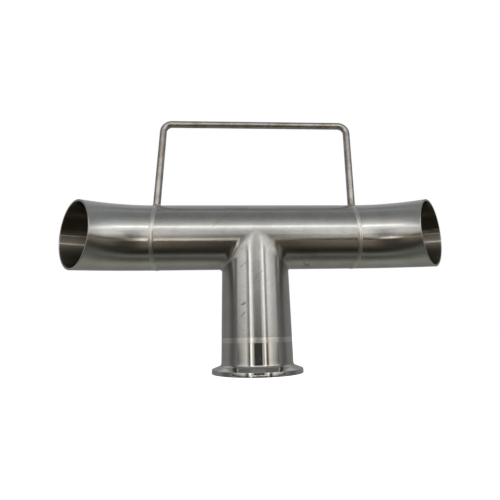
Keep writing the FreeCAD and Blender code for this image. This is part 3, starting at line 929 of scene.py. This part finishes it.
def build_world():
    """A room that is white to the camera and grey, with a dark corner below, to the steel.

    Near the horizon its brightness depends on the direction around, and above and below on
    the angle about the run: front is nothing, up is a quarter turn and down is a quarter
    turn back. It is darkest below the front, where no light reaches the room's floor.
    """
    world = bpy.data.worlds.new("studio")
    bpy.context.scene.world = world
    nodes = Nodes(world)
    right, back, up = nodes.split(nodes.add("TexCoord").outputs["Generated"])
    front = nodes.math("MULTIPLY", back, -1.0)
    tilt = nodes.math("ARCTAN2", up, front)
    over = nodes.ramp(nodes.math("MULTIPLY_ADD", tilt, 0.5 / math.pi, 0.5), ROOM_OVER)
    turn = nodes.math("ARCTAN2", right, front)
    around = nodes.ramp(nodes.math("MULTIPLY_ADD", turn, 0.5 / math.pi, 0.5), ROOM_AROUND)
    level = nodes.math("MAXIMUM", up, nodes.math("MULTIPLY", up, -STEEP_BELOW))
    room = nodes.mix(nodes.between(level, STEEP_FROM, STEEP_TO), around, over)
    ray = nodes.add("LightPath").outputs
    seen = nodes.math("MAXIMUM", ray["Is Camera Ray"], ray["Is Transmission Ray"])
    shown = nodes.mix(seen, room, (1, 1, 1, 1))
    backdrop = nodes.add("Background", {"Color": shown, "Strength": 1.0})
    nodes.add("OutputWorld", {0: backdrop.outputs[0]})


def build_floor():
    """A pale floor that the camera sees as white with a faint shadow."""
    material = bpy.data.materials.new("pale_floor")
    nodes = Nodes(material)
    ray = nodes.add("LightPath").outputs["Is Camera Ray"]
    matt = nodes.add("BsdfDiffuse", {"Color": (0.8, 0.8, 0.8, 1)})
    white = nodes.add("Emission", {"Color": (1, 1, 1, 1), "Strength": ray})
    both = nodes.add("AddShader", {0: matt.outputs[0], 1: white.outputs[0]})
    nodes.add("OutputMaterial", {0: both.outputs[0]})
    floor = add_object("pale_floor", flat_mesh("pale_floor", (-3, -3, 0), (3, 3, 0), material))
    floor.visible_glossy = False


def build_camera():
    """A camera held close, a little below the run and tilted up, as the picture was taken.

    Its place and angles come from a fit with the run's axis as origin, in a frame that
    looks forward with its second axis down. They are turned back into Blender's here.
    """
    data = bpy.data.cameras.new("camera")
    camera = add_object("camera", data)
    frame_px, sensor_mm = 500, 36.0
    focal_px, centre_y = 347.825, 207.531
    tip, roll, turn = -0.348182, -0.049413, -0.019128
    place_mm = (3.4399, 23.5831, 276.6093)
    flip = Matrix(((1, 0, 0), (0, 0, -1), (0, 1, 0)))
    spin = Matrix.Rotation(tip, 3, "X") @ Matrix.Rotation(roll, 3, "Y")
    spin = spin @ Matrix.Rotation(turn, 3, "Z") @ flip
    facing = spin.transposed() @ Matrix(((1, 0, 0), (0, -1, 0), (0, 0, -1)))
    spot = -(spin.transposed() @ Vector([v / 1000 for v in place_mm]))
    spot.z += RUN_HEIGHT
    camera.matrix_world = Matrix.Translation(spot) @ facing.to_4x4()
    data.sensor_width = sensor_mm
    data.lens = focal_px * sensor_mm / frame_px
    data.shift_y = (centre_y - frame_px / 2) / frame_px
    data.clip_start, data.clip_end = 0.01, 20.0
    bpy.context.scene.camera = camera


# Operators


class BuildTee(bpy.types.Operator):
    """Build the drawn tee"""

    bl_idname = "nozzle.build_tee"
    bl_label = "Tee"

    def execute(self, context):
        finish = context.scene.nozzle_finish
        skin = steel(
            "satin_tee", finish.tube, finish.tube_gloss, grain=(260, 1300, 1300), speckle=0.45,
            bump=0.018, spread=0.05, brushed=1.0, along="tee", scuffs=True,
        )
        place(build_tee(context.scene.nozzle_sizes), "tee_body", skin)
        return {"FINISHED"}


class BuildElbows(bpy.types.Operator):
    """Build the two open elbows"""

    bl_idname = "nozzle.build_elbows"
    bl_label = "Elbows"

    def execute(self, context):
        finish = context.scene.nozzle_finish
        skin = steel(
            "satin_elbow", finish.elbow, finish.elbow_gloss, grain=(220, 900, 900), speckle=0.22,
            bump=0.012, spread=0.04, brushed=1.0, along="chart",
        )
        for side, node in ((-1, "left_elbow"), (1, "right_elbow")):
            place(build_elbow(context.scene.nozzle_sizes, side), node, skin)
        return {"FINISHED"}


class BuildFerrule(bpy.types.Operator):
    """Build the turned clamp ferrule"""

    bl_idname = "nozzle.build_ferrule"
    bl_label = "Ferrule"

    def execute(self, context):
        finish = context.scene.nozzle_finish
        skin = steel(
            "turned_steel", finish.ferrule, finish.ferrule_gloss, grain=(30, 30, 3600), speckle=0.0,
            bump=0.01, spread=0.02, brushed=0.9, along=(0, 0, 1),
        )
        place(build_ferrule(context.scene.nozzle_sizes), "clamp_ferrule", skin)
        return {"FINISHED"}


class BuildHandle(bpy.types.Operator):
    """Build the bent bar handle"""

    bl_idname = "nozzle.build_handle"
    bl_label = "Handle"

    def execute(self, context):
        finish = context.scene.nozzle_finish
        skin = steel(
            "drawn_bar", finish.bar, finish.bar_gloss, grain=(200, 300, 200), bump=0.004,
            spread=0.04, stain=0.85,
        )
        place(build_handle(context.scene.nozzle_sizes), "handle", skin)
        return {"FINISHED"}


class BuildWelds(bpy.types.Operator):
    """Build the beads between the tubes and round the handle's feet"""

    bl_idname = "nozzle.build_welds"
    bl_label = "Welds"

    def execute(self, context):
        finish = context.scene.nozzle_finish
        sizes = context.scene.nozzle_sizes
        skin = steel(
            "brushed_bead", finish.weld, gloss=0.30, grain=(900, 900, 900), speckle=0.10,
            bump=0.06, spread=0.10,
        )
        smooth = steel(
            "ferrule_bead", finish.ferrule_weld, gloss=0.24, grain=(600, 600, 2000),
            bump=0.03, spread=0.06, brushed=1.0, along=(0, 0, 1),
        )
        shift, reach = sizes.run_shift, sizes.run_reach
        rings = (
            ("left_girth_weld", (shift - reach, 0, RUN_HEIGHT), "x", 1.3, LAID_CROWN),
            ("right_girth_weld", (shift + reach, 0, RUN_HEIGHT), "x", 4.1, LAID_CROWN),
            ("ferrule_weld", (0, 0, sizes.ferrule_length), "z", 2.2, GROUND_CROWN),
        )
        for node, centre, axis, seed, crown in rings:
            name = node.replace("weld", "bead")
            piece = build_ring_weld(sizes, name, centre, axis, seed, crown)
            place(piece, node, smooth if axis == "z" else skin)
        left, right = handle_feet(sizes)
        feet = (
            ("left_handle_weld", left, sizes.left_lean, 0.7),
            ("right_handle_weld", right, sizes.right_lean, 2.9),
        )
        for node, foot, lean, seed in feet:
            name = node.replace("weld", "bead")
            place(build_foot_weld(sizes, name, foot, lean, seed), node, skin)
        return {"FINISHED"}


class BuildStage(bpy.types.Operator):
    """Build the floor, the studio and the camera"""

    bl_idname = "nozzle.build_stage"
    bl_label = "Stage"

    def execute(self, context):
        context.scene.view_settings.view_transform = "Standard"
        build_world()
        build_floor()
        build_cards()
        build_camera()
        return {"FINISHED"}


class NozzlePanel(bpy.types.Panel):
    """Lists the pieces of the nozzle and its sizes"""

    bl_idname = "VIEW3D_PT_nozzle"
    bl_label = "Draw-off nozzle"
    bl_space_type = "VIEW_3D"
    bl_region_type = "UI"
    bl_category = "Nozzle"

    def draw(self, context):
        for operator in OPERATORS:
            self.layout.operator(operator.bl_idname)
        for group in (context.scene.nozzle_sizes, context.scene.nozzle_finish):
            for name in group.__annotations__:
                self.layout.prop(group, name)


OPERATORS = (BuildTee, BuildElbows, BuildFerrule, BuildHandle, BuildWelds, BuildStage)
CLASSES = (NozzleSizes, NozzleFinish, *OPERATORS, NozzlePanel)


def register():
    """Make the sizes, the finishes, the operators and the panel known to Blender."""
    for item in CLASSES:
        bpy.utils.register_class(item)
    bpy.types.Scene.nozzle_sizes = PointerProperty(type=NozzleSizes)
    bpy.types.Scene.nozzle_finish = PointerProperty(type=NozzleFinish)


def unregister():
    """Take them back out."""
    del bpy.types.Scene.nozzle_finish
    del bpy.types.Scene.nozzle_sizes
    for item in reversed(CLASSES):
        bpy.utils.unregister_class(item)


def main():
    register()
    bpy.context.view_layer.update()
    bpy.ops.nozzle.build_tee()
    bpy.ops.nozzle.build_elbows()
    bpy.ops.nozzle.build_ferrule()
    bpy.ops.nozzle.build_handle()
    bpy.ops.nozzle.build_welds()
    bpy.ops.nozzle.build_stage()
    bpy.context.view_layer.update()


if __name__ == "__main__":
    main()
